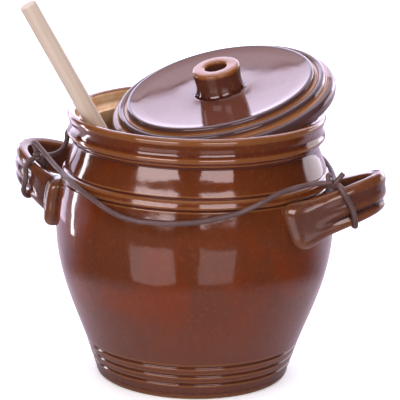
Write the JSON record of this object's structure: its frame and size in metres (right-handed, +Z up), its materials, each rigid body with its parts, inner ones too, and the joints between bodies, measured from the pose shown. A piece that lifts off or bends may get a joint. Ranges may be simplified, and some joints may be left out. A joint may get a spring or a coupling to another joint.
{
  "type": "pickle crock",
  "caption": "Bulbous glazed stoneware crock with strap handles, an ajar stepped lid with hollow knob, a wooden fork and a leather cord tied between the handles.",
  "frame": {"origin": "centre of the crock's foot, on the surface it stands on", "axes": "+Z up along the crock's turning axis, +X through the middle of the right handle, -Y towards the front of the belly, where the front strand of cord hangs lowest"},
  "size_m": [0.232, 0.1666, 0.2266],
  "materials": {
    "brown_glaze": "gloss chestnut-brown glaze, tan inside",
    "handle_glaze": "gloss dark-brown glaze",
    "lid_glaze": "gloss brown glaze, amber on the edges",
    "knob_glaze": "gloss brown glaze",
    "pale_beech": "bare sanded wood",
    "brown_leather": "dark brown round leather"
  },
  "bodies": {
    "crock": {"crock_body": "brown_glaze", "handle_left": "handle_glaze", "handle_right": "handle_glaze", "cord_front": "brown_leather", "cord_back": "brown_leather", "cord_tail": "brown_leather", "cord_wrap_left": "brown_leather", "cord_wrap_right": "brown_leather", "cord_knot_left": "brown_leather", "cord_knot_right": "brown_leather"},
    "loose_lid": {"lid": "lid_glaze", "lid_knob": "knob_glaze"},
    "fork": {"pickle_fork": "pale_beech"}
  },
  "joints": [
    {"name": "lid_lift", "type": "slide", "parent": "crock", "child": "loose_lid", "axis": [0, 0, 1], "range_m": [0, 0.1]},
    {"name": "fork_lift", "type": "slide", "parent": "crock", "child": "fork", "axis": [-0.3559, -0.3436, 0.8691], "range_m": [0, 0.19]}
  ]
}
